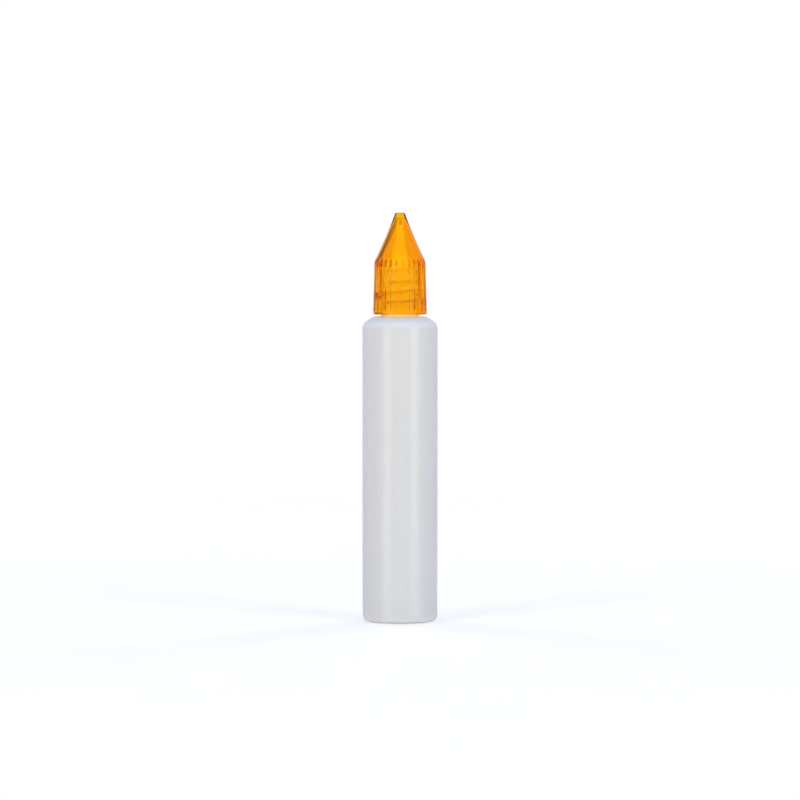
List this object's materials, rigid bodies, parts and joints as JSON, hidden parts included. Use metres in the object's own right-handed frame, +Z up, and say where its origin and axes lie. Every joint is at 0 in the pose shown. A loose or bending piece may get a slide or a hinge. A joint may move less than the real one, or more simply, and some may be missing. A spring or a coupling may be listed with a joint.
{
  "type": "glue applicator bottle",
  "caption": "Slim upright squeeze bottle with a press-in dropper nozzle and a clear ribbed cone screw cap, for laying glue in fine drops and lines.",
  "frame": {"origin": "centre of the base, in the plane the bottle stands on", "axes": "+Z up along the bottle's axis, towards the cap's tip; -Y towards the viewer in front; +X to the viewer's right"},
  "size_m": [0.023, 0.023, 0.1251],
  "materials": {
    "bottle_plastic": "milky translucent soft polyethylene, satin",
    "nozzle_plastic": "natural polyethylene, satin",
    "cap_plastic": "transparent orange styrene, glossy"
  },
  "bodies": {
    "bottle": {"bottle": "bottle_plastic"},
    "nozzle": {"nozzle": "nozzle_plastic"},
    "cap": {"cap": "cap_plastic"}
  },
  "joints": [
    {"name": "cap_turn", "type": "hinge", "parent": "bottle", "child": "nozzle", "pos_m": [0, 0, 0.107], "axis": [0, 0, 1], "range_deg": [0, 810]},
    {"name": "cap_rise", "type": "slide", "parent": "nozzle", "child": "cap", "axis": [0, 0, 1], "range_m": [0, 0.0068]}
  ],
  "couplings": [
    {"joint": "cap_rise", "follows": "cap_turn", "m_per_rad": 0.00047746}
  ]
}
